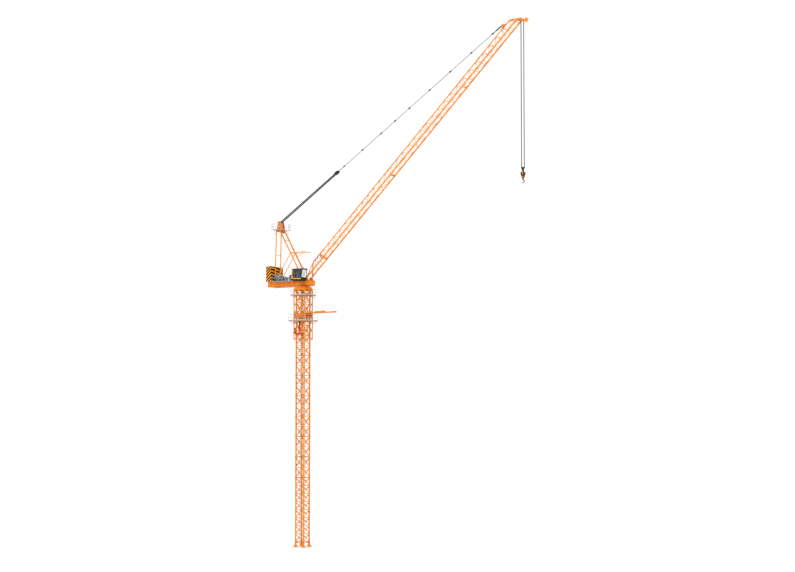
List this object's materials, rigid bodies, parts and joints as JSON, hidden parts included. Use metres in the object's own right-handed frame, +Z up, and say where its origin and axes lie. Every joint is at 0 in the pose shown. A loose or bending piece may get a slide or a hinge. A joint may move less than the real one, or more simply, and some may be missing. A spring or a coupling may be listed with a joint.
{
  "type": "1:10 scale model of a luffing-jib tower crane",
  "caption": "Scale model of a luffing-jib tower crane: lattice mast with climbing cage, slewing deck with cab, winches and counterweight, A-frame, raised lattice jib, hoist rope and hook.",
  "frame": {"origin": "centre of the four foundation bolt holes, on the ground under the mast's axis", "axes": "+Z up along the mast, +X along the jib as it rests, +Y to the left of the jib"},
  "size_m": [5.3723, 0.475, 9.0161],
  "materials": {
    "orange_paint": "semi-gloss",
    "red_paint": "semi-gloss",
    "black_paint": "satin",
    "grey_paint": "satin",
    "galvanised_steel": "matt",
    "wire_rope": "matt",
    "hazard_paint": "semi-gloss",
    "cab_paint": "semi-gloss",
    "cab_glass": "polished",
    "pendant_steel": "matt"
  },
  "bodies": {
    "mast": {"base_feet": "orange_paint", "mast_lower": "orange_paint", "mast_middle": "orange_paint", "mast_upper": "orange_paint", "mast_top_section": "orange_paint", "mast_platforms": "grey_paint", "climbing_cleats": "red_paint", "climbing_cage": "orange_paint", "work_platform": "galvanised_steel", "upper_platform": "galvanised_steel", "platform_brackets": "orange_paint", "work_railing": "galvanised_steel", "upper_railing": "orange_paint", "climbing_cylinder": "red_paint", "climbing_crosshead": "red_paint", "loading_beam": "orange_paint", "loading_trolley": "orange_paint", "beam_stays": "galvanised_steel", "slewing_support": "orange_paint"},
    "upperworks": {"slewing_deck": "orange_paint", "deck_walkways": "galvanised_steel", "jib_foot_lugs": "orange_paint", "counterweight": "hazard_paint", "luffing_winch": "grey_paint", "hoist_winch": "grey_paint", "power_cabinet": "grey_paint", "cab_shell": "cab_paint", "cab_glass": "cab_glass", "cab_carrier": "black_paint", "front_legs": "orange_paint", "rear_legs": "orange_paint", "frame_braces": "orange_paint", "backstop_arms": "orange_paint", "a_frame_head": "orange_paint", "head_platforms": "galvanised_steel", "head_railing": "galvanised_steel"},
    "jib": {"jib_foot": "orange_paint", "jib_lower": "orange_paint", "jib_middle": "orange_paint", "jib_upper": "orange_paint", "jib_head": "orange_paint", "pendant_lug": "orange_paint"},
    "pendant_line": {"pendant_bars": "pendant_steel", "floating_block": "black_paint", "luffing_falls": "wire_rope"},
    "luffing_head": {"luffing_head_block": "red_paint"},
    "hoist_line": {"head_pulley": "red_paint", "hoist_ropes": "wire_rope"},
    "hook_block": {"hook_block_yoke": "black_paint", "hook_block_housing": "orange_paint"},
    "hook": {"hook": "black_paint"}
  },
  "joints": [
    {"name": "slewing", "type": "hinge", "parent": "mast", "child": "upperworks", "pos_m": [0, 0, 4.7372], "axis": [0, 0, 1], "continuous": true},
    {"name": "jib_luffing", "type": "hinge", "parent": "upperworks", "child": "jib", "pos_m": [0.124, 0, 4.88], "axis": [0, -1, 0], "range_deg": [-28.6, 41.4]},
    {"name": "pendant_swing", "type": "hinge", "parent": "jib", "child": "pendant_line", "pos_m": [4.11696, 0, 8.93791], "axis": [0, -1, 0], "range_deg": [-1, 1.4]},
    {"name": "luffing_falls_run", "type": "slide", "parent": "pendant_line", "child": "luffing_head", "axis": [0.8398, 0, 0.5429], "range_m": [-0.6, 0.86], "deforming": ["luffing_falls"]},
    {"name": "hoist_line_swing", "type": "hinge", "parent": "jib", "child": "hoist_line", "pos_m": [4.48196, 0, 8.96789], "axis": [0, -1, 0], "range_deg": [-41.5, 28.7]},
    {"name": "hoisting", "type": "slide", "parent": "hoist_line", "child": "hook_block", "axis": [0, 0, 1], "range_m": [-3.6, 2.2], "deforming": ["hoist_ropes"]},
    {"name": "hook_swivel", "type": "hinge", "parent": "hook_block", "child": "hook", "pos_m": [4.48196, 0, 6.3395], "axis": [0, 0, 1], "continuous": true}
  ],
  "couplings": [
    {"joint": "pendant_swing", "follows": "jib_luffing", "ratio": 0.031},
    {"joint": "luffing_falls_run", "follows": "jib_luffing", "m_per_rad": 1.16},
    {"joint": "hoist_line_swing", "follows": "jib_luffing", "ratio": -1}
  ]
}
